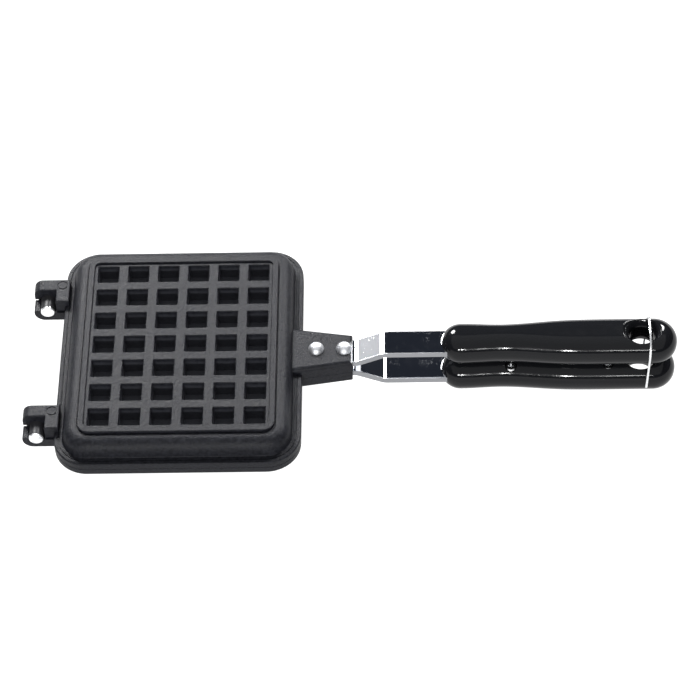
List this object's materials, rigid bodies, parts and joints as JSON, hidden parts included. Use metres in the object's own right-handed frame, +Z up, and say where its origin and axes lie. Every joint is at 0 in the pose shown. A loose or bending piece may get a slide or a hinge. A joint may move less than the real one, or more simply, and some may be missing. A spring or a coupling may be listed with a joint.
{
  "type": "stovetop waffle maker",
  "caption": "Stovetop waffle maker: two square cast waffle plates hinged at one edge, each with a riveted steel strip and a black grip, held shut by a wire ring.",
  "frame": {"origin": "middle of the bounding box, on the surface that the pan lies on", "axes": "+X along the handle from the hinge to the grips' free ends, +Y away from the front, +Z up"},
  "size_m": [0.3494, 0.1472, 0.0436],
  "materials": {
    "coated_casting": "black non-stick coating, fine sandy texture",
    "chromed_strip": "mirror chrome with fine scratches",
    "bright_rivet": "polished",
    "grip_moulding": "glossy",
    "ring_wire": "bright drawn wire",
    "hinge_steel": "black on the side, ground bright on the ends",
    "screw_steel": "bright zinc"
  },
  "bodies": {
    "lower_half": {"lower_plate": "coated_casting", "lower_strip": "chromed_strip", "lower_grip": "grip_moulding", "lower_rivet_inner": "bright_rivet", "lower_screw_inner": "screw_steel", "lower_rivet_outer": "bright_rivet", "lower_screw_outer": "screw_steel"},
    "upper_half": {"upper_plate": "coated_casting", "hinge_pin_front": "hinge_steel", "hinge_pin_back": "hinge_steel", "upper_strip": "chromed_strip", "upper_grip": "grip_moulding", "upper_rivet_inner": "bright_rivet", "upper_screw_inner": "screw_steel", "upper_rivet_outer": "bright_rivet", "upper_screw_outer": "screw_steel"},
    "lock_ring": {"lock_ring": "ring_wire"}
  },
  "joints": [
    {"name": "lid_hinge", "type": "hinge", "parent": "lower_half", "child": "upper_half", "pos_m": [-0.1672, 0, 0.0206], "axis": [0, -1, 0], "range_deg": [0, 110]},
    {"name": "ring_swing", "type": "hinge", "parent": "lower_half", "child": "lock_ring", "pos_m": [0.1586, 0, 0.0083], "axis": [0, 1, 0], "range_deg": [-10, 170]}
  ]
}
